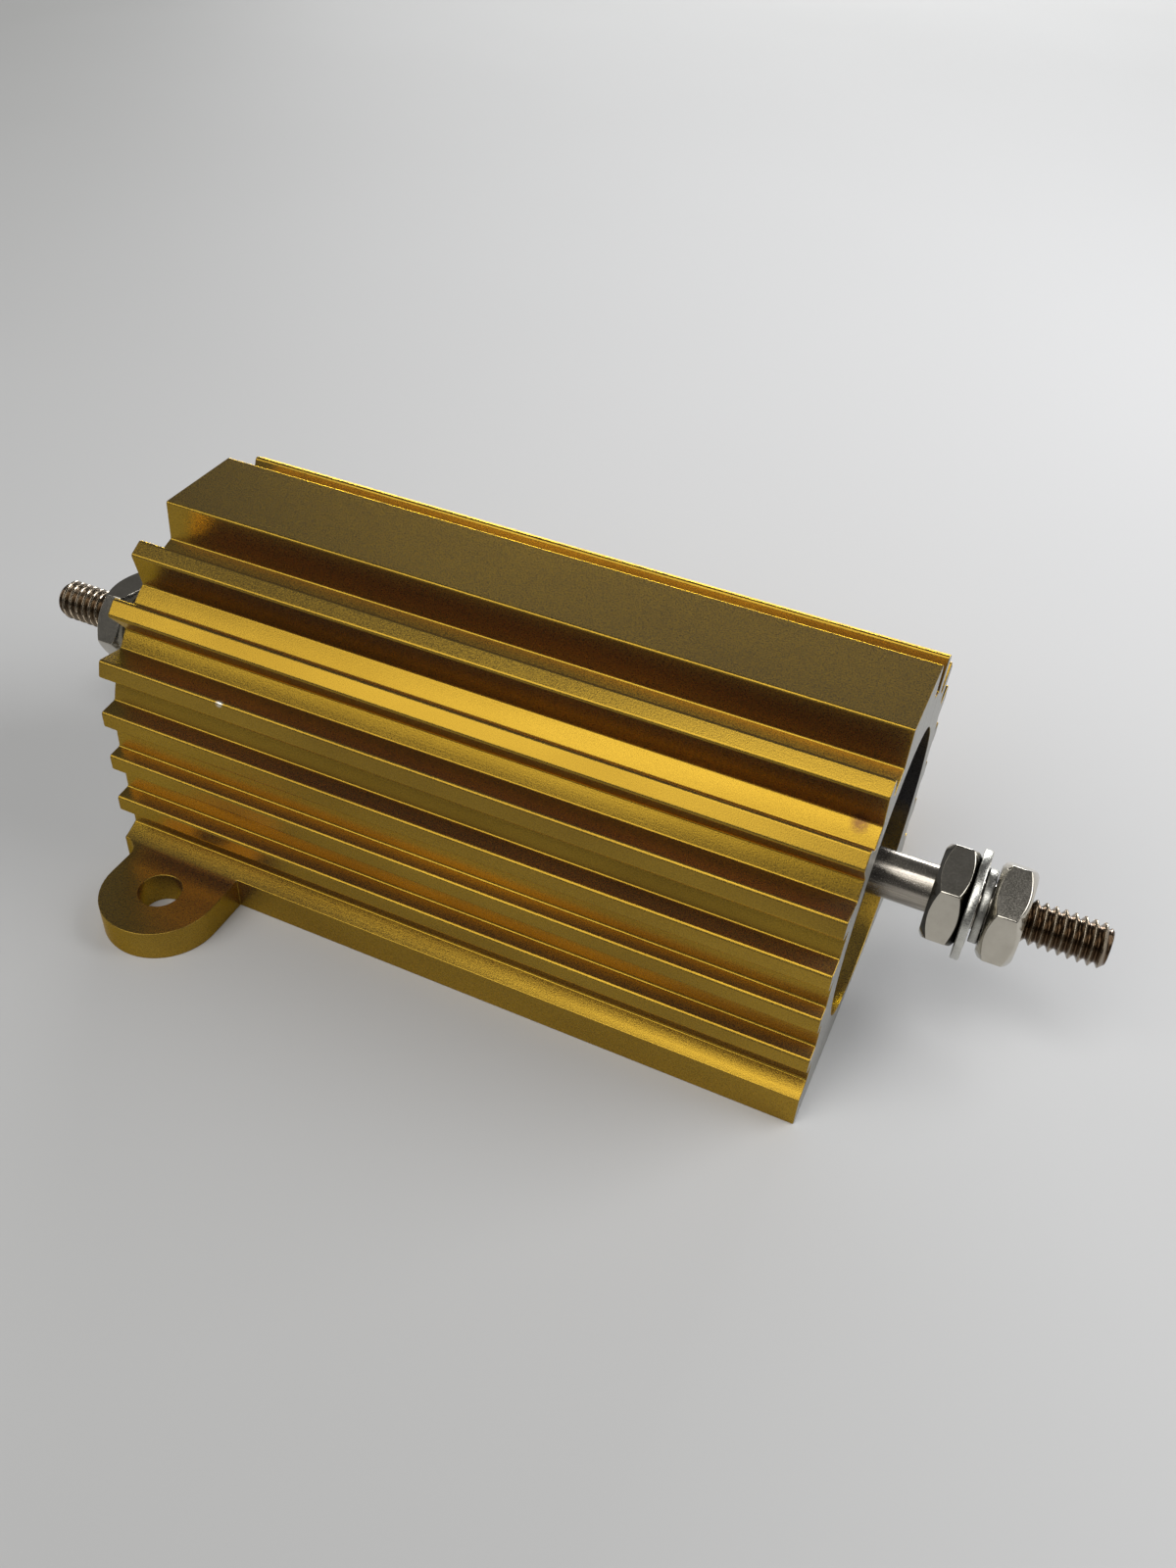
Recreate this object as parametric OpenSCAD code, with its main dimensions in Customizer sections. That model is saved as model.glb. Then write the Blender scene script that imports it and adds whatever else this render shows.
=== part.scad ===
// Aluminium housed power resistor: a wound element potted in a finned extrusion,
// with a threaded terminal stud at each end and two diagonal mounting ears.
// X runs along the housing, Y across it and Z up from the mounting face.

/* [Housing] */
// Length of the finned housing
body_len = 88.9; // [80:0.1:120]
// Height from the mounting face to the flat top
body_h = 43.2; // [41:0.1:48]
// Width across the mounting base, without the ears
base_w = 47.2; // [46:0.1:52]
// Height of the base at its outer edge, which is also the thickness of the ears
base_edge_h = 4.2; // [3:0.1:5.2]
// Height of the base where its sloping top meets the side wall
base_root_h = 5.4; // [5.2:0.1:6.5]
// Width of the flat top
top_w = 12.3; // [9:0.1:15]
// Spread of the top rib on each side, from the flat top down to its root
top_draft = 0.3; // [0:0.1:1]
// Diameter of the bore that holds the resistance element
bore_d = 34.2; // [31:0.1:35]
// Height of the bore's axis above the mounting face
axis_h = 18.2; // [17.9:0.1:20]
// Thickness of the wall round the upper half of the bore
wall_t = 4.1; // [3:0.1:5]
// Spread of each side wall, from the bore's axis down to the mounting face
side_draft = 0.2; // [0:0.1:1]

/* [Side fins] */
// Number of level fins on each side wall
side_fin_count = 3; // [1:1:3]
// Height of the middle of the lowest side fin
side_fin_h = 9.8; // [8.5:0.1:10.5]
// Distance from one side fin to the next
side_fin_pitch = 6.4; // [5.5:0.1:6.8]
// Width across the tips of the lowest pair of side fins
side_fin_w = 46.7; // [46.5:0.1:50]
// How much narrower each pair of side fins is than the pair below it
side_fin_step = 0.5; // [0:0.1:1]

/* [Leaning fins] */
// Angle of the lowest leaning fin's tip above the level, seen from the bore's axis
fan_start = 27; // [24:1:30]
// Angle between the tips of neighbouring leaning fins, seen from the bore's axis
fan_step = 17; // [15:1:18]
// Reach of the lowest leaning fin beyond the wall
low_reach = 3.2; // [2:0.1:4]
// Reach of the middle leaning fin beyond the wall
mid_reach = 3.8; // [2:0.1:5]
// Reach of the highest leaning fin beyond the wall
high_reach = 4.2; // [2:0.1:5]
// Direction in which the lowest leaning fin points, above the level
low_lean = 15; // [5:1:25]
// Direction in which the middle leaning fin points, above the level
mid_lean = 47; // [40:1:52]
// Direction in which the highest leaning fin points, above the level
high_lean = 72; // [65:1:76]

/* [Fin section] */
// Thickness of a fin at its tip
fin_tip_t = 2.3; // [1.8:0.1:2.8]
// Taper of each face of a fin, in degrees
fin_draft = 5; // [0:1:8]
// Rounding of a fin's two tip corners
fin_round = 0.4; // [0.1:0.05:0.8]

/* [Mounting ears] */
// Distance between the two mounting holes along the housing
hole_span_x = 69.85; // [55:0.05:74]
// Distance between the two mounting holes across the housing
hole_span_y = 58.2; // [56:0.1:64]
// Diameter of the mounting holes
hole_d = 5.2; // [3:0.1:6]
// Radius of the round end of each ear
ear_r = 7.2; // [5:0.1:9]
// Radius of the hollow curve where an ear's outer side runs into the base
ear_flare = 2.1; // [0.5:0.1:4]

/* [Terminal studs] */
// Diameter of the plain shank of each stud
shank_d = 5.54; // [4:0.01:6]
// Diameter over the thread's crests
thread_d = 5.2; // [3.7:0.01:5.7]
// How far each stud stands out beyond the end of the housing
stud_reach = 25.3; // [20:0.1:32]
// Length of the chamfer on the tip of each stud
tip_chamfer = 0.7; // [0.2:0.1:1.2]

/* [Nuts and washers] */
// Distance from the end of the housing to the inner nut
nut_standoff = 5.9; // [1:0.1:7]
// Width across the flats of the nuts
nut_flats = 10.9; // [9:0.1:13]
// Thickness of the nuts
nut_t = 4; // [3:0.05:5]
// Diameter of the flat circle that the corner chamfers leave on each face of a nut
nut_face_d = 10.2; // [8.2:0.1:10.8]
// Slope of the corner chamfers of the nuts, in degrees
nut_chamfer = 30; // [20:1:40]
// Depth of the countersink at each mouth of a nut's hole
nut_sink = 0.4; // [0.1:0.05:0.8]
// Outer diameter of the flat washers
washer_d = 12.8; // [10:0.1:15]
// Thickness of the flat washers
washer_t = 1; // [0.6:0.1:1.6]
// Outer diameter of the split lock washers
lock_d = 8.6; // [8:0.1:11]
// Thickness of the split lock washers
lock_t = 1.3; // [0.8:0.1:1.8]
// Width of the slit through a lock washer
lock_slit = 0.8; // [0.3:0.1:1.5]
// Slant of that slit away from the stud's axis, in degrees
lock_slant = 25; // [0:1:35]

/* [Nut angles] */
// Angle above the level of one corner of the right inner nut, on the -Y side
right_inner_turn = 43; // [0:1:60]
// Angle above the level of one corner of the right outer nut, on the -Y side
right_outer_turn = 38; // [0:1:60]
// Angle above the level of one corner of the left inner nut, on the +Y side
left_inner_turn = 20; // [0:1:60]
// Angle above the level of one corner of the left outer nut, on the +Y side
left_outer_turn = 58; // [0:1:60]

/* [Resistance element] */
// Depth from each end of the housing down to the moulding compound
recess = 2; // [0.5:0.1:5]
// Thickness of the moulding compound over each end cap
end_cover = 9; // [4:0.1:14]
// Outer diameter of the ceramic core
core_d = 22; // [16:0.5:26]
// Diameter of the hole along the ceramic core
core_bore_d = 12; // [6:0.5:14]
// Diameter of the resistance wire
wire_d = 1; // [0.4:0.1:1.4]
// Distance from one turn of the wire to the next
wire_pitch = 2; // [1.5:0.1:4]
// Sheet thickness of the end caps
cap_t = 1.2; // [0.6:0.1:2]
// Length of core that each end cap covers
cap_depth = 6; // [3:0.5:10]

/* [Clearances] */
// Radial gap between round pieces that fit one inside the other
fit_gap = 0.05; // [0.02:0.01:0.1]
// Radial gap between a flat washer's hole and the stud's shank
washer_gap = 0.4; // [0.1:0.05:0.6]
// Radial gap between a lock washer's hole and the stud's shank
lock_gap = 0.15; // [0.1:0.05:0.4]

/* [Hidden] */
$fn = 64;
// Overshoot that keeps a cut clear of the face it breaks through
cut = 1;

// Radius of the circle that the floors of the upper grooves lie on
root_r = bore_d / 2 + wall_t;
// How far a fin runs back into the wall that carries it
fin_seat = wall_t * 0.6;
// Each leaning fin: angle of its tip, direction that it points, reach beyond the wall
fan = [
    [fan_start, low_lean, low_reach],
    [fan_start + fan_step, mid_lean, mid_reach],
    [fan_start + 2 * fan_step, high_lean, high_reach]
];

element_len = body_len - 2 * (recess + end_cover);
core_len = element_len - 2 * cap_t;
cap_d = core_d + 2 * (fit_gap + cap_t);
winding_len = core_len - 2 * cap_depth;
winding_d = core_d + 2 * (fit_gap + wire_d);
turns = floor((winding_len - wire_d) / wire_pitch) + 1;

// Places along the stud, measured from the middle of the housing
inner_nut_x = body_len / 2 + nut_standoff;
flat_washer_x = inner_nut_x + nut_t;
lock_washer_x = flat_washer_x + washer_t;
outer_nut_x = lock_washer_x + lock_t;
thread_x = outer_nut_x + nut_t;
tip_x = body_len / 2 + stud_reach;

// ---- Placing ----

// Lays a shape that stands on Z along the bore's axis, starting x from the middle.
module along_axis(x) {
    translate([x, 0, axis_h]) rotate([0, 90, 0]) children();
}

// Turns what is built for the right-hand end round to the left-hand end.
module at_left() {
    rotate(180) children();
}

// Draws a section, with its level along Y and its height along Z, as a bar along X.
module extruded(length) {
    rotate([90, 0, 90]) linear_extrude(length, center = true) children();
}

// ---- Housing ----

// One fin in section. Its tip face is centred on the origin, it runs back along -X,
// and slant turns the tip face away from square.
module fin_section(run, slant = 0) {
    lift = fin_tip_t / 2 - fin_round;
    root_half = fin_tip_t / 2 + run * tan(fin_draft);
    low_x = -(fin_round - lift * sin(slant)) / cos(slant);
    high_x = -(fin_round + lift * sin(slant)) / cos(slant);
    face = fin_round * [cos(slant), sin(slant)];
    polygon([
        [-run, -root_half], [low_x, -fin_tip_t / 2], [low_x, -lift] + face,
        [high_x, lift] + face, [high_x, fin_tip_t / 2], [-run, root_half]
    ]);
    translate([low_x, -lift]) circle(r = fin_round);
    translate([high_x, lift]) circle(r = fin_round);
}

module side_fins() {
    for (i = [0 : side_fin_count - 1]) {
        tip_y = (side_fin_w - side_fin_step * i) / 2;
        translate([tip_y, side_fin_h + side_fin_pitch * i])
            fin_section(run = tip_y - root_r + fin_seat);
    }
}

// The tips of the steeper fins are cut back to face straight away from the bore.
module leaning_fins() {
    for (fin = fan) {
        tip_r = root_r + fin[2];
        translate([tip_r * cos(fin[0]), axis_h + tip_r * sin(fin[0])])
            rotate(fin[1])
                fin_section(run = fin[2] + fin_seat, slant = min(0, fin[0] - fin[1]));
    }
}

// Round over the bore, then straight down to the mounting face.
module wall_section() {
    intersection() {
        translate([0, axis_h]) circle(r = root_r, $fn = 128);
        translate([-root_r, axis_h]) square([2 * root_r, root_r]);
    }
    polygon([
        [-root_r - side_draft, 0], [root_r + side_draft, 0],
        [root_r, axis_h], [-root_r, axis_h]
    ]);
}

module base_section() {
    polygon([
        [-base_w / 2, 0], [base_w / 2, 0], [base_w / 2, base_edge_h],
        [root_r, base_root_h], [-root_r, base_root_h], [-base_w / 2, base_edge_h]
    ]);
}

module top_rib_section() {
    root_half = top_w / 2 + top_draft;
    polygon([
        [-root_half, axis_h + root_r - wall_t / 2], [root_half, axis_h + root_r - wall_t / 2],
        [top_w / 2, body_h], [-top_w / 2, body_h]
    ]);
}

module housing_section() {
    wall_section();
    base_section();
    top_rib_section();
    for (side = [0, 1]) mirror([side, 0]) {
        side_fins();
        leaning_fins();
    }
}

// One ear and its hole, at the +X +Y corner; the other is half a turn round.
module ear_outline() {
    hole = [hole_span_x / 2, hole_span_y / 2];
    flare_x = hole.x + ear_r + ear_flare;
    translate(hole) circle(r = ear_r);
    translate([hole.x - ear_r, 0]) square([2 * ear_r, hole.y]);
    difference() {
        translate([hole.x, 0]) square([min(flare_x, body_len / 2) - hole.x, base_w / 2 + ear_flare]);
        translate([flare_x, base_w / 2 + ear_flare]) circle(r = ear_flare);
    }
}

module housing() {
    color("darkgoldenrod") difference() {
        union() {
            extruded(body_len) housing_section();
            for (turn = [0, 180]) rotate(turn) linear_extrude(base_edge_h) ear_outline();
        }
        along_axis(-body_len / 2 - cut) cylinder(d = bore_d, h = body_len + 2 * cut, $fn = 128);
        for (turn = [0, 180]) rotate(turn)
            translate([hole_span_x / 2, hole_span_y / 2, -cut])
                cylinder(d = hole_d, h = base_edge_h + 2 * cut);
    }
}

// ---- Resistance element ----

module ceramic_core() {
    color("linen") along_axis(-core_len / 2) difference() {
        cylinder(d = core_d, h = core_len);
        translate([0, 0, -cut]) cylinder(d = core_bore_d, h = core_len + 2 * cut);
    }
}

// The turns of wire, held by the thin coat of cement that fills between them.
module resistance_winding() {
    coat_r = core_d / 2 + fit_gap;
    wire_r = wire_d / 2;
    first = (winding_len - (turns - 1) * wire_pitch) / 2;
    color("darkgray") along_axis(-winding_len / 2) rotate_extrude() union() {
        translate([coat_r, 0]) square([wire_r, winding_len]);
        for (i = [0 : turns - 1])
            translate([coat_r + wire_r, first + i * wire_pitch]) circle(d = wire_d, $fn = 24);
    }
}

// A pressed cup over the end of the core, closed towards the stud.
module end_cap() {
    color("silver") along_axis(core_len / 2 - cap_depth) difference() {
        cylinder(d = cap_d, h = cap_depth + cap_t);
        translate([0, 0, -cut]) cylinder(d = core_d + 2 * fit_gap, h = cap_depth + cut);
    }
}

module moulding_compound() {
    pocket_d = cap_d + 2 * fit_gap;
    pour_len = body_len - 2 * recess;
    color("dimgray") difference() {
        along_axis(-pour_len / 2) cylinder(d = bore_d - 2 * fit_gap, h = pour_len, $fn = 128);
        along_axis(-winding_len / 2) cylinder(d = winding_d + 2 * fit_gap, h = winding_len);
        for (turn = [0, 180]) rotate(turn) {
            along_axis(winding_len / 2) cylinder(d = pocket_d, h = cap_depth + cap_t);
            along_axis(element_len / 2 - cut)
                cylinder(d = shank_d + 2 * fit_gap, h = pour_len / 2);
        }
    }
}

// ---- Terminals ----

// The stud is welded to the cap. Its thread is drawn as the cylinder that its crests
// lie on, and only where it stands clear of the outer nut.
module terminal_stud() {
    color("gray") {
        along_axis(element_len / 2) cylinder(d = shank_d, h = thread_x - element_len / 2);
        along_axis(thread_x) cylinder(d = thread_d, h = tip_x - tip_chamfer - thread_x);
        along_axis(tip_x - tip_chamfer)
            cylinder(d1 = thread_d, d2 = thread_d - 2 * tip_chamfer, h = tip_chamfer);
    }
}

// A hexagon nut, chamfered on both faces, with one corner at the given angle above
// the level.
module hex_nut(corner_angle) {
    corner_r = nut_flats / 2 / cos(30);
    rise = (corner_r - nut_face_d / 2) * tan(nut_chamfer);
    hole_r = shank_d / 2 + fit_gap;
    rotate(30 - corner_angle) difference() {
        intersection() {
            cylinder(r = corner_r, h = nut_t, $fn = 6);
            rotate_extrude() polygon([
                [0, 0], [nut_face_d / 2, 0], [corner_r, rise],
                [corner_r, nut_t - rise], [nut_face_d / 2, nut_t], [0, nut_t]
            ]);
        }
        translate([0, 0, -cut]) cylinder(r = hole_r, h = nut_t + 2 * cut);
        cylinder(r1 = hole_r + nut_sink, r2 = hole_r, h = nut_sink);
        translate([0, 0, nut_t - nut_sink])
            cylinder(r1 = hole_r, r2 = hole_r + nut_sink, h = nut_sink);
    }
}

module inner_nut(corner_angle) {
    color("silver") along_axis(inner_nut_x) hex_nut(corner_angle);
}

module outer_nut(corner_angle) {
    color("silver") along_axis(outer_nut_x) hex_nut(corner_angle);
}

// A loose washer, which hangs from the top of the shank.
module flat_washer() {
    drop = washer_gap - fit_gap;
    color("gainsboro") translate([0, 0, -drop]) along_axis(flat_washer_x) difference() {
        cylinder(d = washer_d, h = washer_t);
        translate([0, 0, -cut])
            cylinder(d = shank_d + 2 * washer_gap, h = washer_t + 2 * cut);
    }
}

// A spring ring, closed flat between its neighbours and cut through on a slant.
module lock_washer() {
    color("gainsboro") along_axis(lock_washer_x) difference() {
        cylinder(d = lock_d, h = lock_t);
        translate([0, 0, -cut]) cylinder(d = shank_d + 2 * lock_gap, h = lock_t + 2 * cut);
        translate([0, 0, lock_t / 2]) rotate([lock_slant, 0, 0])
            translate([0, -lock_slit / 2, -lock_d / 2]) cube([lock_d, lock_slit, lock_d]);
    }
}

housing();
moulding_compound();
ceramic_core();
resistance_winding();
at_left() end_cap();  // end_cap_left
end_cap();  // end_cap_right
at_left() terminal_stud();  // terminal_stud_left
terminal_stud();  // terminal_stud_right
at_left() inner_nut(left_inner_turn);  // inner_nut_left
inner_nut(right_inner_turn);  // inner_nut_right
at_left() flat_washer();  // flat_washer_left
flat_washer();  // flat_washer_right
at_left() lock_washer();  // lock_washer_left
lock_washer();  // lock_washer_right
at_left() outer_nut(left_outer_turn);  // outer_nut_left
outer_nut(right_outer_turn);  // outer_nut_right
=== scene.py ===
"""Looks of an aluminium housed power resistor: a finned, gold-anodised housing with two
mounting ears, and a threaded terminal stud with its nuts and washers at each end."""

import math

import bmesh
import bpy
from mathutils import Matrix, Vector
from mathutils.geometry import tessellate_polygon


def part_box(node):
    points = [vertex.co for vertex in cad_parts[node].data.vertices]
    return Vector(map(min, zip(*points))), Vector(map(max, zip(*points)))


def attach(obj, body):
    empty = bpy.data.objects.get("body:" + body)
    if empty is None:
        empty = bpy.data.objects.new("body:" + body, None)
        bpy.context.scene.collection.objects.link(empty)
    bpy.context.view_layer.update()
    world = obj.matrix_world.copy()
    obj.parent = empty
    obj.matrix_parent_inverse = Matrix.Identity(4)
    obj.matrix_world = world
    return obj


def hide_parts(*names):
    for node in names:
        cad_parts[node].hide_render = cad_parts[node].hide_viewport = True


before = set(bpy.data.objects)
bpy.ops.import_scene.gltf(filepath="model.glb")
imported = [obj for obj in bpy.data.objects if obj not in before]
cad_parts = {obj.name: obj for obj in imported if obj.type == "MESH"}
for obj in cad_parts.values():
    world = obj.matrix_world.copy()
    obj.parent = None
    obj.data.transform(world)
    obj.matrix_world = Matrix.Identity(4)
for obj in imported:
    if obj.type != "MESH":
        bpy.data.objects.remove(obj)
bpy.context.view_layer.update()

MM = 0.001
# Points nearer to each other than this count as one
WELD = 0.001 * MM
ROUND_STEPS = 128
# Clearance round a piece that fits in another
FIT_GAP = 0.05 * MM
# How far a cut runs past what it cuts
CUT_PAST = 1 * MM

# Arcs in an outline: a corner gets one unless it is within SHARP_TURN of straight on or of
# straight back. Its steps turn by ARC_STEP at most, and it takes up no more than the share
# ARC_ROOM of each side.
SHARP_TURN = math.radians(15)
ARC_STEP = math.radians(15)
ARC_ROOM = 0.45

# Rounded edges: they turn by more than EDGE_TURN, or than STEEP_TURN on a piece that has
# gentler ones to keep
EDGE_TURN = math.radians(25)
STEEP_TURN = math.radians(50)
EDGE_STEPS = 2

# Housing
ROOT_ROUND = 0.3 * MM
EAR_BLEND = 4.0 * MM
# Half the flange's width before it is cut back: it reaches past the ears
FLANGE_REACH = 45 * MM
HOUSING_EDGE = 0.1 * MM
# A face belongs to a milled end if its normal has this much of X
END_FACING = 0.9

# Studs
THREAD_PITCH = 25.4 / 24 * MM
THREAD_DEPTH = 0.6 * MM
THREAD_D = 5.2 * MM
THREAD_IN_NUT = 0.6 * MM
TIP_CHAMFER = 0.7 * MM
STUD_EDGE = 0.1 * MM
# One turn of the thread: share of the pitch, share of the depth below the crest
THREAD_FORM = [(0, 0), (0.05, 0.03), (0.1, 0.12), (0.2, 0.36), (0.3, 0.62), (0.4, 0.87),
               (0.45, 0.97), (0.5, 1), (0.55, 1), (0.6, 0.97), (0.65, 0.87), (0.75, 0.62),
               (0.85, 0.36), (0.95, 0.12)]

# Nuts
NUT_FLATS = 10.9 * MM
NUT_FACE_D = 9.9 * MM
NUT_CHAMFER = math.radians(36)
NUT_CORNER_ROUND = 0.2 * MM
NUT_SIDE_STEPS = 12
NUT_SINK = 0.4 * MM
NUT_EDGE = 0.1 * MM
# Degrees from level up to a corner: on the camera's side at the right-hand end, and on the
# far side at the left-hand end
NUT_TURN = {
    "inner_nut_right": 43, "outer_nut_right": 38, "inner_nut_left": 20, "outer_nut_left": 58,
}

# Washers. The lock washer's spring is how far its two ends stand apart along the stud.
WASHER_GAP = 0.4 * MM
WASHER_EDGE = 0.15 * MM
LOCK_GAP = 0.15 * MM
LOCK_SLIT = 0.8 * MM
LOCK_SLANT = math.radians(25)
LOCK_SPRING = 0.28 * MM
LOCK_EDGE = 0.12 * MM

# Moulding compound
COMPOUND_DISH = 0.25 * MM
COMPOUND_CREEP = 0.5 * MM
COMPOUND_EDGE = 0.12 * MM

ENDS = {"right": 1, "left": -1}


# ---- Meshes ----

def in_scene(name, data):
    """An object in the scene that shows a mesh, a light or a camera."""
    made = bpy.data.objects.new(name, data)
    bpy.context.scene.collection.objects.link(made)
    return made


def new_piece(name, points, faces):
    mesh = bpy.data.meshes.new(name)
    mesh.from_pydata([tuple(p) for p in points], [], faces)
    weld(mesh)
    return in_scene(name, mesh)


def weld(mesh):
    """Joins points that coincide, drops what collapsed and turns every face outwards."""
    bm = bmesh.new()
    bm.from_mesh(mesh)
    bmesh.ops.remove_doubles(bm, verts=bm.verts, dist=WELD)
    bmesh.ops.dissolve_degenerate(bm, edges=bm.edges, dist=WELD)
    bmesh.ops.recalc_face_normals(bm, faces=bm.faces)
    bm.to_mesh(mesh)
    bm.free()


def lattice(name, rows, wrap_rows=False, wrap_columns=False):
    """A surface through rows of points, each row as long as the others."""
    columns = len(rows[0])
    faces = []
    for r in range(len(rows) - (not wrap_rows)):
        upper = (r + 1) % len(rows)
        for c in range(columns - (not wrap_columns)):
            side = (c + 1) % columns
            faces.append((r * columns + c, r * columns + side,
                          upper * columns + side, upper * columns + c))
    return new_piece(name, [p for row in rows for p in row], faces)


def prism(name, loops, low, high, place):
    """A flat outline with its holes, carried from low to high. place makes a point in
    space of a point of the outline and a height."""
    flat = [p for loop in loops for p in loop]
    count = len(flat)
    points = [place(p, low) for p in flat] + [place(p, high) for p in flat]
    caps = tessellate_polygon([[p.to_3d() for p in loop] for loop in loops])
    faces = [tuple(reversed(cap)) for cap in caps]
    faces += [tuple(i + count for i in cap) for cap in caps]
    start = 0
    for loop in loops:
        for i in range(len(loop)):
            a = start + i
            b = start + (i + 1) % len(loop)
            faces.append((a, b, b + count, a + count))
        start += len(loop)
    return new_piece(name, points, faces)


def carve(piece, operation, tool):
    """Applies a boolean with the tool, and removes the tool."""
    modifier = piece.modifiers.new("carve", "BOOLEAN")
    modifier.operation = operation
    modifier.object = tool
    modifier.solver = "EXACT"
    graph = bpy.context.evaluated_depsgraph_get()
    mesh = bpy.data.meshes.new_from_object(piece.evaluated_get(graph))
    piece.modifiers.clear()
    piece.data = mesh
    bpy.data.objects.remove(tool)


def soften(piece, width, angle=EDGE_TURN):
    """Rounds every edge that turns by more than angle, and shades flat faces flat."""
    piece.data.shade_smooth()
    bevel = piece.modifiers.new("edges", "BEVEL")
    bevel.width = width
    bevel.segments = EDGE_STEPS
    bevel.limit_method = "ANGLE"
    bevel.angle_limit = angle
    bevel.use_clamp_overlap = False
    bevel.miter_outer = "MITER_ARC"
    normals = piece.modifiers.new("normals", "WEIGHTED_NORMAL")
    normals.keep_sharp = True
    normals.weight = 100


def dress(piece, node, slot, *materials):
    """Puts a piece in the place of a CAD node, with its materials. Its slot is not used."""
    for material in materials:
        piece.data.materials.append(material)
    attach(piece, "root")
    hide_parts(node)


def circle(radius):
    """A flat ring of points."""
    turns = [math.tau * i / ROUND_STEPS for i in range(ROUND_STEPS)]
    return [Vector((radius * math.cos(t), radius * math.sin(t))) for t in turns]


# ---- Housing ----

def face_outlines(node, axis, value):
    """The closed outlines of the flat face that a CAD node has where its coordinate on
    axis is value, the largest outline first."""
    bm = bmesh.new()
    bm.from_mesh(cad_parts[node].data)
    bmesh.ops.remove_doubles(bm, verts=bm.verts, dist=WELD)
    # The mesh's own order keeps the first point of each outline the same in every run
    for face in bm.faces:
        face.tag = all(abs(v.co[axis] - value) < WELD for v in face.verts)
    following = {}
    for face in bm.faces:
        for corner in face.loops:
            if face.tag and sum(f.tag for f in corner.edge.link_faces) == 1:
                following[corner.vert] = corner.link_loop_next.vert
    outlines = []
    while following:
        start, here = following.popitem()
        outline = [start.co.copy()]
        while here is not start:
            outline.append(here.co.copy())
            here = following.pop(here)
        outlines.append(outline)
    bm.free()
    return sorted(outlines, key=spread, reverse=True)


def spread(outline):
    """How far an outline reaches from its first point."""
    return max((p - outline[0]).length for p in outline)


def with_flange(section):
    """The section before the flange is cut back to the ears: the base runs on level,
    on both sides, from the foot of its slope."""
    edge = max(p.x for p in section)
    widened = []
    for before, point in zip(section[-1:] + section[:-1], section):
        far = Vector((math.copysign(FLANGE_REACH, point.x), point.y))
        if abs(point.x) < edge - WELD:
            widened.append(point)
        elif point.y < WELD:
            widened.append(far)
        elif abs(before.x) < edge - WELD:
            widened += [point, far]
        else:
            widened += [far, point]
    return widened


def rounded(outline, radius_at):
    """Puts an arc in each sharp corner of a closed outline, as far as its sides allow."""
    made = []
    for before, corner, after in zip(outline[-1:] + outline[:-1], outline,
                                     outline[1:] + outline[:1]):
        back = before - corner
        ahead = after - corner
        turn = math.pi - back.angle(ahead)
        if turn < SHARP_TURN or turn > math.pi - SHARP_TURN:
            made.append(corner)
            continue
        room = ARC_ROOM * min(back.length, ahead.length)
        setback = min(radius_at(corner) * math.tan(turn / 2), room)
        radius = setback / math.tan(turn / 2)
        inwards = (back.normalized() + ahead.normalized()).normalized()
        centre = corner + inwards * math.hypot(setback, radius)
        start = corner + back.normalized() * setback - centre
        side = math.copysign(1, back.cross(ahead))
        steps = max(2, math.ceil(turn / ARC_STEP))
        for i in range(steps + 1):
            angle = -side * turn * i / steps
            made.append(centre + Matrix.Rotation(angle, 2) @ start)
    return made


def housing(anodised, milled):
    """The extrusion: its section carried along X, cut to its plan, and bored. Its two ends
    are milled."""
    low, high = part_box("housing")
    ends, bore = face_outlines("housing", 0, high.x)
    plan = face_outlines("housing", 2, low.z)
    section = [p.yz for p in ends]
    edge = max(p.x for p in section)

    def radius_at(corner):
        soft = abs(abs(corner.x) - edge) < WELD and corner.y > WELD
        return EAR_BLEND if soft else ROOT_ROUND

    profile = rounded(with_flange(section), radius_at)
    piece = prism("housing_body", [profile], low.x - CUT_PAST, high.x + CUT_PAST,
                  lambda p, x: Vector((x, p.x, p.y)))
    outline = [[p.xy for p in loop] for loop in plan]
    carve(piece, "INTERSECT", prism("plan", outline, low.z - CUT_PAST, high.z + CUT_PAST,
                                    lambda p, z: Vector((p.x, p.y, z))))
    axis = sum(bore, Vector()).yz / len(bore)
    bore_r = max((p.yz - axis).length for p in bore)
    carve(piece, "DIFFERENCE", prism("bore", [circle(bore_r)], low.x - CUT_PAST,
                                     high.x + CUT_PAST,
                                     lambda p, x: Vector((x, p.x + axis.x, p.y + axis.y))))
    soften(piece, HOUSING_EDGE)
    dress(piece, "housing", "gold_anodised_aluminium", anodised, milled)
    for face in piece.data.polygons:
        outermost = abs(face.center.x) > high.x - WELD
        face.material_index = int(outermost and abs(face.normal.x) > END_FACING)


# ---- Terminals ----

def along(node):
    """Where a right-hand node starts and ends along the stud."""
    low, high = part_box(node)
    return low.x, high.x


def level_of(node):
    """How high the middle of a node lies."""
    low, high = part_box(node)
    return (low.z + high.z) / 2


def radius_of(node):
    low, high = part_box(node)
    return (high.z - low.z) / 2


AXIS_Z = level_of("terminal_stud_right")
SHANK_R = radius_of("terminal_stud_right")
BORE_R = radius_of("moulding_compound") + FIT_GAP


def at_end(end, x, y, z):
    """A point of the right-hand terminal, or the same point half a turn round."""
    return Vector((ENDS[end] * x, ENDS[end] * y, AXIS_Z + z))


def ring(end, x, radius):
    """A circle round the stud. Its last point lies on its first."""
    turns = [math.tau * i / ROUND_STEPS for i in range(ROUND_STEPS + 1)]
    return [at_end(end, x, radius * math.cos(t), radius * math.sin(t)) for t in turns]


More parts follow.
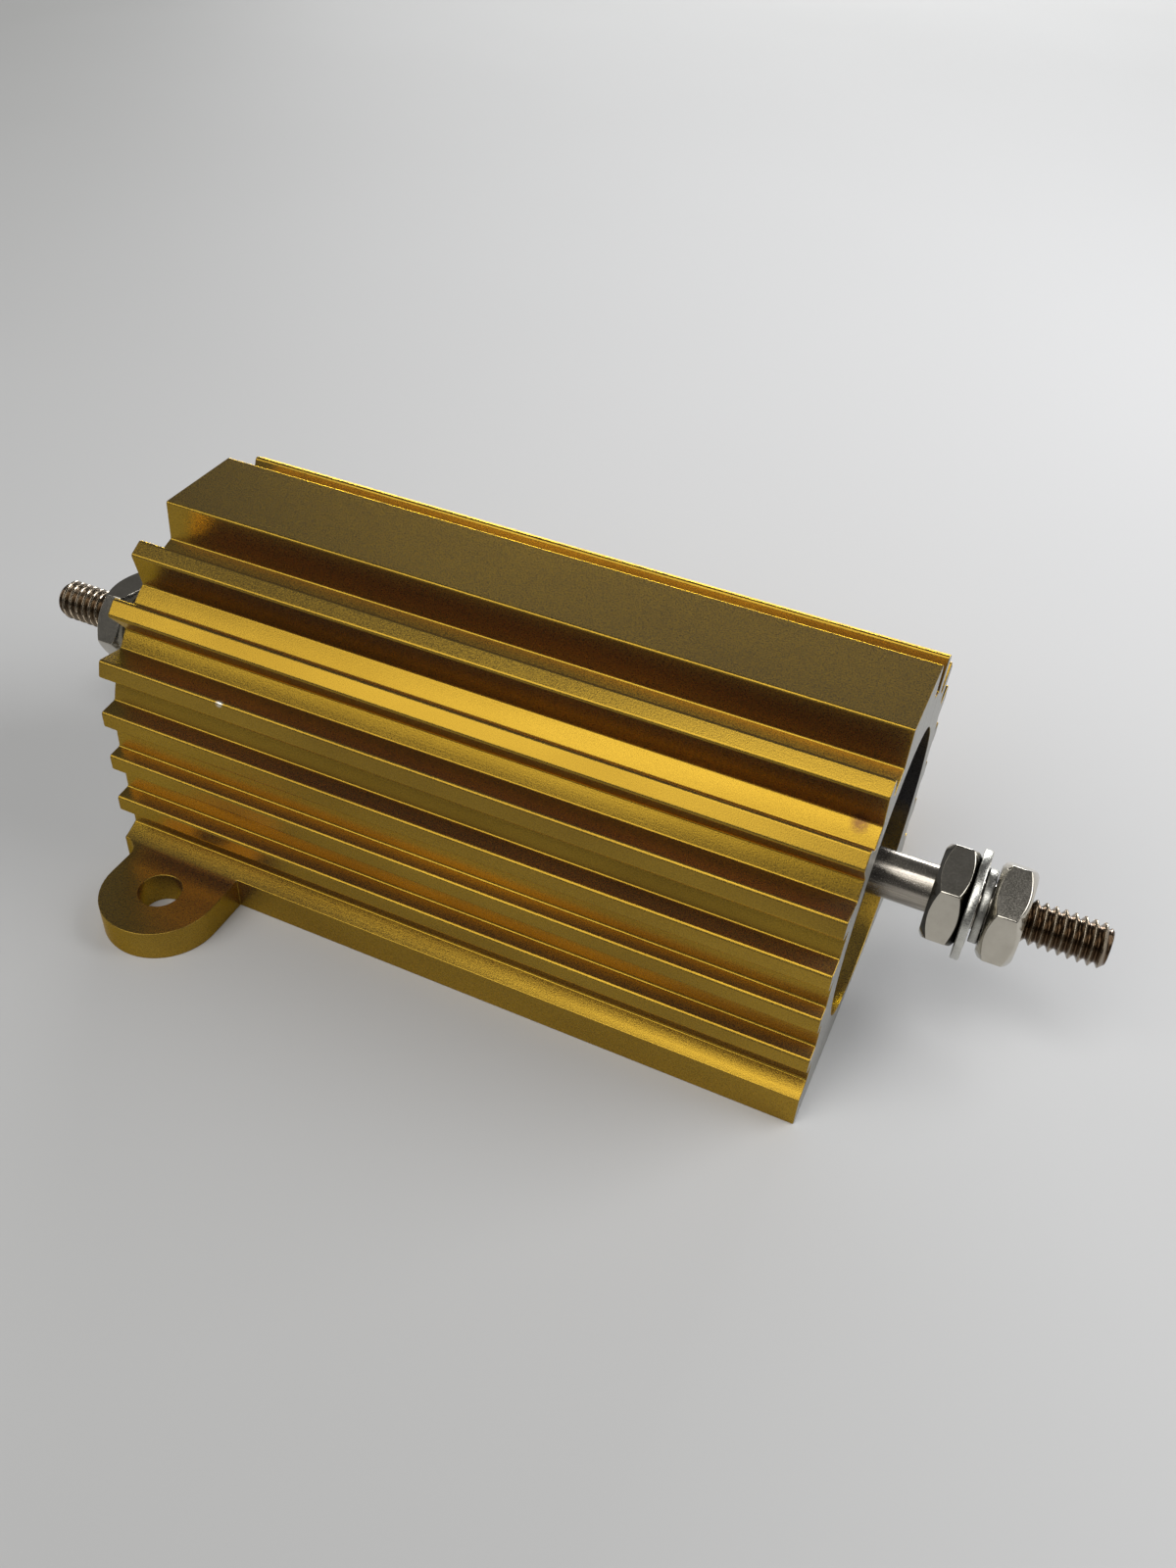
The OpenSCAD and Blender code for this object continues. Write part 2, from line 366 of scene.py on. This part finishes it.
def thread_rows(end, start, tip):
    """The thread between start and tip, in rows that climb one pitch in each turn."""
    crest = THREAD_D / 2
    rows = []
    for turn in range(-1, math.ceil((tip - start) / THREAD_PITCH) + 1):
        for share, depth in THREAD_FORM:
            row = []
            for i in range(ROUND_STEPS + 1):
                x = start + (turn + share + i / ROUND_STEPS) * THREAD_PITCH
                x = min(max(x, start), tip)
                radius = crest - THREAD_DEPTH * (depth if x > start else 1)
                radius = min(radius, crest - TIP_CHAMFER + tip - x)
                angle = math.tau * i / ROUND_STEPS
                row.append(at_end(end, x, radius * math.cos(angle), radius * math.sin(angle)))
            rows.append(row)
    return rows


def stud(end, material):
    """A plain shank, threaded from just inside the outer nut to the tip."""
    back, tip = along("terminal_stud_right")
    start = along("outer_nut_right")[1] - THREAD_IN_NUT
    rows = [ring(end, back, 0), ring(end, back, SHANK_R), ring(end, start, SHANK_R)]
    rows += thread_rows(end, start, tip)
    rows.append(ring(end, tip, 0))
    piece = lattice("stud_" + end, rows)
    soften(piece, STUD_EDGE, angle=STEEP_TURN)
    dress(piece, "terminal_stud_" + end, "stud_steel", material)


def hexagon(corner_angle):
    """Outline of a nut with small round corners, as offsets across and up."""
    inner = NUT_FLATS / 2 - NUT_CORNER_ROUND
    centre_r = inner / math.cos(math.radians(30))
    points = []
    for corner in range(6):
        middle = math.radians(180 - corner_angle + 60 * corner)
        centre = Vector((math.cos(middle), math.sin(middle))) * centre_r
        # The corner's arc turns by 60 degrees, in four steps
        for step in range(-2, 3):
            angle = middle + ARC_STEP * step
            points.append(centre + Vector((math.cos(angle), math.sin(angle))) * NUT_CORNER_ROUND)
    return with_points_between(points)


def with_points_between(outline):
    """Divides the long sides of a nut's outline, so that its chamfer can curve along them."""
    made = []
    for a, b in zip(outline, outline[1:] + outline[:1]):
        steps = NUT_SIDE_STEPS if (b - a).length > NUT_CORNER_ROUND else 1
        made += [a.lerp(b, i / steps) for i in range(steps)]
    return made


def nut(which, end, material):
    """A hexagon nut, turned down to a circle at both faces and countersunk."""
    start, stop = along(which + "_right")
    outline = hexagon(NUT_TURN[which + "_" + end])
    hole = SHANK_R + FIT_GAP

    def row(x, radius):
        return [at_end(end, x, *(p.normalized() * radius)) for p in outline]

    def rim(face_x, inwards):
        drop = [(p.length - NUT_FACE_D / 2) * math.tan(NUT_CHAMFER) for p in outline]
        return [at_end(end, face_x + inwards * d, *p) for d, p in zip(drop, outline)]

    rows = [row(start + NUT_SINK, hole), row(start, hole + NUT_SINK), row(start, NUT_FACE_D / 2),
            rim(start, 1), rim(stop, -1), row(stop, NUT_FACE_D / 2),
            row(stop, hole + NUT_SINK), row(stop - NUT_SINK, hole)]
    piece = lattice(which + "_body_" + end, rows, wrap_rows=True, wrap_columns=True)
    soften(piece, NUT_EDGE)
    dress(piece, which + "_" + end, "nickel_plate", material)


def flat_washer(end, material):
    """A loose washer. It hangs on the shank, so it lies lower than the stud's axis."""
    start, stop = along("flat_washer_right")
    outer = radius_of("flat_washer_right")
    hole = SHANK_R + WASHER_GAP
    hang = Vector((0, 0, level_of("flat_washer_right") - AXIS_Z))
    corners = [(start, hole), (start, outer), (stop, outer), (stop, hole)]
    rows = [[p + hang for p in ring(end, x, radius)] for x, radius in corners]
    piece = lattice("washer_" + end, rows, wrap_rows=True)
    soften(piece, WASHER_EDGE)
    dress(piece, "flat_washer_" + end, "washer_plate", material)


def lock_washer(end, material):
    """A split spring ring. One end of it bears on the washer and the other on the nut."""
    start, stop = along("lock_washer_right")
    hole = SHANK_R + LOCK_GAP
    outer = radius_of("lock_washer_right")
    thick = stop - start - LOCK_SPRING
    section = [(0, hole), (0, outer), (thick, outer), (thick, hole)]
    rows = []
    for step in range(ROUND_STEPS + 1):
        share = step / ROUND_STEPS
        row = []
        for x, radius in section:
            slit = LOCK_SLIT / 2 / radius
            slant = (x - thick / 2) * math.tan(LOCK_SLANT) / radius
            angle = slit + (math.tau - 2 * slit) * share + slant - math.pi / 2
            row.append(at_end(end, start + LOCK_SPRING * share + x, radius * math.cos(angle),
                              radius * math.sin(angle)))
        rows.append(row)
    centres = [[sum(row, Vector()) / len(row)] * len(row) for row in (rows[0], rows[-1])]
    piece = lattice("lock_washer_body_" + end, [centres[0]] + rows + [centres[1]],
                    wrap_columns=True)
    soften(piece, LOCK_EDGE)
    dress(piece, "lock_washer_" + end, "spring_steel", material)


# ---- Moulding compound ----

def compound(material):
    """Fills the bore round the element. Each end is dished, and creeps up what it meets."""
    low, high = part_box("moulding_compound")
    outer = radius_of("moulding_compound")
    cap_x = along("end_cap_right")[1]
    cap_r = radius_of("end_cap_right") + FIT_GAP
    winding_x = along("resistance_winding")[1]
    winding_r = radius_of("resistance_winding") + FIT_GAP
    hole = SHANK_R + FIT_GAP
    face = high.x - COMPOUND_CREEP
    middle = (outer + hole) / 2
    half = [(0, outer), (high.x, outer), (high.x - COMPOUND_CREEP / 2, outer - COMPOUND_CREEP / 2),
            (face, outer - COMPOUND_CREEP), (face - COMPOUND_DISH, middle),
            (face, hole + COMPOUND_CREEP), (high.x - COMPOUND_CREEP / 2, hole + COMPOUND_CREEP / 2),
            (high.x, hole), (cap_x, hole), (cap_x, cap_r), (winding_x, cap_r),
            (winding_x, winding_r), (0, winding_r)]
    profile = half + [(-x, radius) for x, radius in reversed(half[1:-1])]
    rows = [ring("right", x, radius) for x, radius in profile]
    piece = lattice("potting", rows, wrap_rows=True)
    soften(piece, COMPOUND_EDGE, angle=STEEP_TURN)
    dress(piece, "moulding_compound", "potting_compound", material)


# ---- Shader nodes ----

def rgb(red, green, blue):
    return (red, green, blue, 1.0)


def add(tree, kind, inputs=None, **settings):
    """Adds a shader node. An input that is a socket is linked, and any other is set."""
    node = tree.nodes.new("ShaderNode" + kind)
    for name, value in settings.items():
        setattr(node, name, value)
    for name, value in (inputs or {}).items():
        if isinstance(value, bpy.types.NodeSocket):
            tree.links.new(value, node.inputs[name])
        else:
            node.inputs[name].default_value = value
    return node


def new_material(name, **constants):
    """A material with a Principled shader, its constants set on the shader's sockets."""
    material = bpy.data.materials.new(name)
    material.use_nodes = True
    tree = material.node_tree
    tree.nodes.clear()
    shader = add(tree, "BsdfPrincipled")
    for socket, value in constants.items():
        shader.inputs[socket.replace("_", " ")].default_value = value
    add(tree, "OutputMaterial", {"Surface": shader.outputs["BSDF"]})
    return material, tree, shader


def connect(tree, shader, colour, roughness, relief):
    """Gives a shader what varies over the surface."""
    tree.links.new(colour, shader.inputs["Base Color"])
    tree.links.new(roughness, shader.inputs["Roughness"])
    tree.links.new(relief, shader.inputs["Normal"])


def noise(tree, scale, stretch=(1, 1, 1), detail=2.0):
    """Noise with about scale features to the metre, drawn out along an axis by stretch.
    Most of it lies between 0.3 and 0.7."""
    where = add(tree, "TexCoord").outputs["Object"]
    where = add(tree, "Mapping", {"Vector": where, "Scale": stretch}).outputs["Vector"]
    return add(tree, "TexNoise", {"Vector": where, "Scale": scale, "Detail": detail}).outputs["Fac"]


def fit(tree, value, low, high, from_low=0.3, from_high=0.7):
    """Maps a value from one range to another, clamped. The first one is that of noise
    unless another is given."""
    made = add(tree, "MapRange", {"Value": value, "From Min": from_low, "From Max": from_high,
                                  "To Min": low, "To Max": high})
    return made.outputs["Result"]


def blend(tree, share, a, b, kind="MIX"):
    """Mixes two colours, each a constant or a socket. 6 and 7 are the Mix node's inputs
    for colours."""
    made = add(tree, "Mix", {0: share, 6: a, 7: b}, data_type="RGBA", blend_type=kind)
    return made.outputs[2]


def calc(tree, operation, a, b):
    """Arithmetic on shares, clamped between 0 and 1."""
    return add(tree, "Math", {0: a, 1: b}, operation=operation, use_clamp=True).outputs[0]


def measure(tree, operation, a, b=0.0):
    """Arithmetic on lengths, which aren't clamped."""
    return add(tree, "Math", {0: a, 1: b}, operation=operation).outputs[0]


def distance(tree, place):
    """How far the surface is from a place."""
    where = add(tree, "TexCoord").outputs["Object"]
    away = add(tree, "VectorMath", {0: where, 1: place}, operation="DISTANCE")
    return away.outputs["Value"]


def bump(tree, height, depth, strength, under=None):
    """Relief as deep as depth. under is the relief that it lies on."""
    inputs = {"Height": height, "Distance": depth, "Strength": strength}
    if under is not None:
        inputs["Normal"] = under
    return add(tree, "Bump", inputs).outputs["Normal"]


# ---- Materials ----

# Colours, in pairs where noise blends them
GOLD = (rgb(0.30, 0.177, 0.014), rgb(0.40, 0.245, 0.022))
GOLD_TINT = rgb(1.0, 0.80, 0.35)
GOLD_WORN = rgb(0.72, 0.60, 0.34)
ALUMINIUM = (rgb(0.29, 0.285, 0.26), rgb(0.43, 0.42, 0.39))
STUD = (rgb(0.31, 0.28, 0.235), rgb(0.52, 0.475, 0.41))
STUD_THREAD = rgb(0.32, 0.26, 0.19)
# Darker brown for the thread's grooves
STUD_GROOVE_DARK = rgb(0.10, 0.062, 0.034)
PLATE_WORN = rgb(0.85, 0.84, 0.80)
# Painted shade for the corners of the plated parts
PLATE_CORNER_SHADE = rgb(0.03, 0.028, 0.025)
COMPOUND = (rgb(0.07, 0.07, 0.073), rgb(0.095, 0.095, 0.098))
CERAMIC = (rgb(0.74, 0.72, 0.66), rgb(0.86, 0.84, 0.78))
# Near black for most of the bore's upper wall
BORE_TOP_DARK = rgb(0.028, 0.030, 0.038)

# Plated finishes: dark and light colour, least and most roughness, depth of the grain
PLATINGS = {
    "nickel_plate": (rgb(0.50, 0.465, 0.395), rgb(0.59, 0.55, 0.475), 0.12, 0.24, 0.003 * MM),
    "washer_plate": (rgb(0.50, 0.49, 0.45), rgb(0.66, 0.65, 0.60), 0.22, 0.4, 0.02 * MM),
    "spring_steel": (rgb(0.46, 0.45, 0.41), rgb(0.60, 0.59, 0.54), 0.24, 0.42, 0.02 * MM),
    "resistance_wire": (rgb(0.32, 0.31, 0.29), rgb(0.45, 0.44, 0.42), 0.4, 0.6, 0.005 * MM),
    "steel_cap": (rgb(0.5, 0.5, 0.48), rgb(0.62, 0.62, 0.60), 0.25, 0.4, 0.004 * MM),
}

# Wear shows where the surface faces another way than it would with its edges rounded to a
# radius. The limits are the dot product of the two normals, at full wear and at none.
GOLD_WEAR_R = 0.2 * MM
PLATE_WEAR_R = 0.12 * MM
WEAR_FULL = 0.75
WEAR_NONE = 0.98
WEAR_SAMPLES = 6

# Painted shade in corners: how far round a point counts, and the shares of it that are open air
# where the painted shade is full and where it ends
CORNER_SHADE_REACH = 1.5 * MM
CORNER_SHADE_FULL = 0.2
CORNER_SHADE_NONE = 0.75
CORNER_SHADE_SAMPLES = 8

# Darkening of the bore's wall to near black: how far past the bore's radius the wall ends, the
# heights over the axis where the darkening starts and where it covers most, what noise adds to
# the height at most, and how much it covers
BORE_DARK_WALL = (0.05 * MM, 0.15 * MM)
BORE_DARK_HEIGHT = (-5 * MM, 1 * MM)
BORE_DARK_RAGGED = 8 * MM
BORE_DARK_COVER = 0.97

# Small marks on the anodising: place, radius and colour. A mark fades from its core, a
# share of the radius, to its rim, and noise between two limits makes it ragged.
GOLD_MARKS = [
    (Vector((42.2, -12.65, 35.2)) * MM, 1.3 * MM, rgb(0.17, 0.085, 0.022)),
    (Vector((-28.0, -21.4, 30.15)) * MM, 0.55 * MM, rgb(0.95, 0.93, 0.85)),
]
MARK_CORE = 0.3
MARK_RAGGED = (0.3, 0.46)

# Stud: the thread's colour gives way to the shank's between two distances over the crest,
# and the grooves' darker brown ends a little below the crest. A face whose normal has more
# of X than these is the tip, which isn't darkened.
THREAD_TO_SHANK = (0.03 * MM, 0.1 * MM)
GROOVE_DARK_BELOW_CREST = 0.1 * MM
TIP_FACING = (0.93, 0.97)


def worn_edges(tree, radius):
    """1 at edges, 0 on flats and gentle curves, broken up by noise."""
    bevelled = add(tree, "Bevel", {"Radius": radius}, samples=WEAR_SAMPLES).outputs["Normal"]
    normal = add(tree, "NewGeometry").outputs["Normal"]
    same = add(tree, "VectorMath", {0: bevelled, 1: normal}, operation="DOT_PRODUCT")
    edge = fit(tree, same.outputs["Value"], 1, 0, from_low=WEAR_FULL, from_high=WEAR_NONE)
    return calc(tree, "MULTIPLY", edge, fit(tree, noise(tree, 900), 0.2, 1))


def off_axis(tree):
    """Distance of a point from the axis of the bore and the studs, and its height over it."""
    split = add(tree, "SeparateXYZ", {0: add(tree, "TexCoord").outputs["Object"]})
    up = measure(tree, "SUBTRACT", split.outputs["Z"], AXIS_Z)
    across = split.outputs["Y"]
    square = measure(tree, "ADD", measure(tree, "MULTIPLY", up, up),
                     measure(tree, "MULTIPLY", across, across))
    return measure(tree, "SQRT", square), up


def bore_top_darkening(tree):
    """How much of the bore's wall is darkened to near black: most of its upper part."""
    reach, up = off_axis(tree)
    wall = fit(tree, reach, 1, 0, from_low=BORE_R + BORE_DARK_WALL[0],
               from_high=BORE_R + BORE_DARK_WALL[1])
    ragged = measure(tree, "MULTIPLY", noise(tree, 300, detail=3), BORE_DARK_RAGGED)
    height = measure(tree, "ADD", up, ragged)
    return calc(tree, "MULTIPLY", wall, fit(tree, height, 0, BORE_DARK_COVER, *BORE_DARK_HEIGHT))


def mark(tree, place, size):
    """1 in a ragged spot round a place, 0 outside it."""
    near = fit(tree, distance(tree, place), 1, 0, from_low=MARK_CORE * size, from_high=size)
    ragged = fit(tree, noise(tree, 1500, detail=3), 0, 1, *MARK_RAGGED)
    return calc(tree, "MULTIPLY", near, ragged)


def gold_anodised():
    """Matt gold with a fine grain, drawn lines along it, paler edges, and a few marks."""
    material, tree, shader = new_material("gold_anodised", Metallic=1.0,
                                          Specular_Tint=GOLD_TINT, Coat_Weight=0.6,
                                          Coat_Roughness=0.75, Coat_IOR=1.5)
    grain = noise(tree, 6500)
    lines = noise(tree, 4000, stretch=(0.01, 1, 1))
    clouds = noise(tree, 90, stretch=(0.4, 1, 1), detail=3)
    colour = blend(tree, fit(tree, clouds, 0, 1), *GOLD)
    pits = fit(tree, grain, 0.84, 1.12, from_low=0.32, from_high=0.65)
    colour = blend(tree, 1.0, colour, pits, kind="MULTIPLY")
    edges = worn_edges(tree, GOLD_WEAR_R)
    colour = blend(tree, calc(tree, "MULTIPLY", edges, 0.6), colour, GOLD_WORN)
    # Darkens most of the bore's upper wall to near black
    colour = blend(tree, bore_top_darkening(tree), colour, BORE_TOP_DARK)
    for place, size, tint in GOLD_MARKS:
        colour = blend(tree, mark(tree, place, size), colour, tint)
    rough = add(tree, "Mix", {0: calc(tree, "MULTIPLY", edges, 0.8),
                              2: fit(tree, grain, 0.23, 0.36), 3: 0.85})
    relief = bump(tree, grain, 0.014 * MM, 0.7)
    relief = bump(tree, lines, 0.008 * MM, 0.5, under=relief)
    connect(tree, shader, colour, rough.outputs[0], relief)
    return material


def bare_aluminium():
    """The milled ends, with the cutter's upright marks."""
    material, tree, shader = new_material("bare_aluminium", Metallic=1.0)
    grain = noise(tree, 4000, detail=3)
    marks = noise(tree, 2500, stretch=(1, 1, 0.06))
    colour = blend(tree, fit(tree, marks, 0, 1), *ALUMINIUM)
    relief = bump(tree, marks, 0.01 * MM, 0.6)
    relief = bump(tree, grain, 0.006 * MM, 0.5, under=relief)
    connect(tree, shader, colour, fit(tree, grain, 0.32, 0.5), relief)
    return material


def plated(name):
    """Plated steel: grain that breaks its reflections, brighter edges, and painted shade that
    darkens its corners.
    """
    dark, light, smooth, rough, depth = PLATINGS[name]
    material, tree, shader = new_material(name, Metallic=1.0)
    grain = noise(tree, 6000)
    clouds = noise(tree, 500, detail=3)
    colour = blend(tree, fit(tree, clouds, 0, 1), dark, light)
    edges = worn_edges(tree, PLATE_WEAR_R)
    colour = blend(tree, calc(tree, "MULTIPLY", edges, 0.5), colour, PLATE_WORN)
    # Painted shade: near black where nearby surfaces close round a point, such as the gap between a
    # nut and its washer
    air = add(tree, "AmbientOcclusion", {"Distance": CORNER_SHADE_REACH}, samples=CORNER_SHADE_SAMPLES)
    unshaded = fit(tree, air.outputs["AO"], 0, 1, from_low=CORNER_SHADE_FULL, from_high=CORNER_SHADE_NONE)
    colour = blend(tree, unshaded, PLATE_CORNER_SHADE, colour)
    connect(tree, shader, colour, fit(tree, grain, smooth, rough), bump(tree, grain, depth, 0.6))
    return material


def stud_steel():
    """Drawn steel: streaks along the shank, and darker brown down in the thread's grooves."""
    material, tree, shader = new_material("stud_steel", Metallic=1.0)
    streaks = noise(tree, 5000, stretch=(0.05, 1, 1), detail=3)
    grain = noise(tree, 7000)
    colour = blend(tree, fit(tree, streaks, 0, 1), *STUD)
    reach, _ = off_axis(tree)
    crest = THREAD_D / 2
    down = fit(tree, reach, 1, 0, from_low=crest - THREAD_DEPTH,
               from_high=crest - GROOVE_DARK_BELOW_CREST)
    split = add(tree, "SeparateXYZ", {0: add(tree, "NewGeometry").outputs["Normal"]})
    facing = measure(tree, "ABSOLUTE", split.outputs["X"])
    flank = fit(tree, facing, 1, 0, *TIP_FACING)
    thread = fit(tree, reach, 1, 0, from_low=crest + THREAD_TO_SHANK[0],
                 from_high=crest + THREAD_TO_SHANK[1])
    colour = blend(tree, thread, colour, STUD_THREAD)
    # Darker brown down in the thread's grooves, but not on the tip
    colour = blend(tree, calc(tree, "MULTIPLY", down, flank), colour, STUD_GROOVE_DARK)
    relief = bump(tree, streaks, 0.006 * MM, 0.6)
    relief = bump(tree, grain, 0.004 * MM, 0.5, under=relief)
    connect(tree, shader, colour, fit(tree, grain, 0.16, 0.28), relief)
    return material


def potting_compound():
    material, tree, shader = new_material("potting_compound")
    lumps = noise(tree, 600, detail=4)
    grain = noise(tree, 5000)
    colour = blend(tree, fit(tree, lumps, 0, 1), *COMPOUND)
    connect(tree, shader, colour, fit(tree, grain, 0.45, 0.7), bump(tree, lumps, 0.15 * MM, 0.5))
    return material


def ceramic():
    material, tree, shader = new_material("ceramic")
    grain = noise(tree, 2500, detail=4)
    colour = blend(tree, fit(tree, grain, 0, 1), *CERAMIC)
    connect(tree, shader, colour, fit(tree, grain, 0.55, 0.8), bump(tree, grain, 0.02 * MM, 0.5))
    return material


def finish_hidden_nodes(wire, cap, core):
    """The element inside keeps its CAD shape and gets its own finishes."""
    finishes = {"resistance_winding": wire, "end_cap_left": cap, "end_cap_right": cap,
                "ceramic_core": core}
    for node, material in finishes.items():
        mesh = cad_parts[node].data
        mesh.materials.clear()
        mesh.materials.append(material)


# ---- Studio ----

CAMERA_AT = Vector((53.4, -114.8, 124.7)) * MM
CAMERA_AIM = Vector((9.6, -3.8, 20)) * MM
CAMERA_ROLL = math.radians(4.18)
# Lens and sensor in millimetres
CAMERA_LENS = 31.08
CAMERA_SENSOR = 36
CAMERA_NEAR = 0.01
CAMERA_FAR = 10
FLOOR_R = 1.0
# The paper has a painted pool of light, and painted shade that turns it grey at the fall distance
# from the pool
PAPER_IN_PAINTED_LIGHT = rgb(0.82, 0.82, 0.83)
PAPER_IN_PAINTED_SHADE = rgb(0.46, 0.46, 0.45)
PAINTED_LIGHT_POOL = Vector((120, 200, 0)) * MM
PAINTED_LIGHT_FALL = 480 * MM
WORLD_LEVEL = 0.1
BACKDROP_LEVEL = 0.6
# Softboxes: direction from the object, distance, width and depth, brightness, colour
SOFTBOXES = {
    "key": ((-0.34, -0.60, 0.70), 2.0, 1.3, 1.3, 2.4, (1.0, 0.99, 0.96)),
    "overhead": ((0.02, -0.28, 0.96), 1.6, 0.8, 0.6, 3.6, (1.0, 1.0, 1.0)),
    "side": ((0.7, 0.35, 0.6), 0.7, 0.5, 0.5, 3.7, (0.98, 0.99, 1.0)),
    "back": ((-0.26, 0.96, 0.08), 1.4, 1.1, 0.2, 30.0, (0.98, 0.99, 1.0)),
}


def camera():
    data = bpy.data.cameras.new("camera")
    data.lens = CAMERA_LENS
    data.sensor_width = CAMERA_SENSOR
    data.clip_start = CAMERA_NEAR
    data.clip_end = CAMERA_FAR
    made = in_scene("camera", data)
    look = (CAMERA_AIM - CAMERA_AT).to_track_quat("-Z", "Y")
    turn = Matrix.Rotation(CAMERA_ROLL, 4, "Z")
    made.matrix_world = Matrix.Translation(CAMERA_AT) @ look.to_matrix().to_4x4() @ turn
    bpy.context.scene.camera = made


def softbox(name, direction, away, width, depth, brightness, colour):
    """A rectangle of light that faces the object. Its power follows from its size, so that
    a larger one is as bright to look at."""
    direction = Vector(direction).normalized()
    data = bpy.data.lights.new(name, "AREA")
    data.shape = "RECTANGLE"
    data.size = width
    data.size_y = depth
    data.energy = brightness * math.pi * width * depth
    data.color = colour
    made = in_scene(name, data)
    made.location = direction * away
    made.rotation_mode = "QUATERNION"
    made.rotation_quaternion = direction.to_track_quat("Z", "Y")
    made.visible_camera = False


def paper():
    """White paper with a painted pool of light behind the object on its right, and painted shade
    that greys it far from there.
    """
    material, tree, shader = new_material("floor_paper", Roughness=0.75)
    far = fit(tree, distance(tree, PAINTED_LIGHT_POOL), 0, 1, from_low=0, from_high=PAINTED_LIGHT_FALL)
    share = calc(tree, "MULTIPLY", far, fit(tree, noise(tree, 4, detail=3), 0.85, 1))
    # Painted light and shade: from the painted pool of light to painted shade, with distance
    colour = blend(tree, share, PAPER_IN_PAINTED_LIGHT, PAPER_IN_PAINTED_SHADE)
    tree.links.new(colour, shader.inputs["Base Color"])
    return material


def floor():
    rim = [p.to_3d() for p in circle(FLOOR_R)]
    made = new_piece("floor", rim, [range(ROUND_STEPS)])
    made.data.materials.append(paper())


def room():
    """Dim all round, and pale where the camera looks at it."""
    world = bpy.data.worlds.new("room")
    world.use_nodes = True
    tree = world.node_tree
    seen = add(tree, "LightPath").outputs["Is Camera Ray"]
    level = fit(tree, seen, WORLD_LEVEL, BACKDROP_LEVEL, from_low=0, from_high=1)
    tree.links.new(level, tree.nodes["Background"].inputs["Color"])
    bpy.context.scene.world = world


# ---- Scene ----

nickel = plated("nickel_plate")
washer = plated("washer_plate")
spring = plated("spring_steel")
steel = stud_steel()

housing(gold_anodised(), bare_aluminium())
compound(potting_compound())
for end in ENDS:
    stud(end, steel)
    nut("inner_nut", end, nickel)
    nut("outer_nut", end, nickel)
    flat_washer(end, washer)
    lock_washer(end, spring)
finish_hidden_nodes(plated("resistance_wire"), plated("steel_cap"), ceramic())

floor()
room()
for name, settings in SOFTBOXES.items():
    softbox(name, *settings)
camera()
bpy.context.scene.view_settings.view_transform = "Standard"
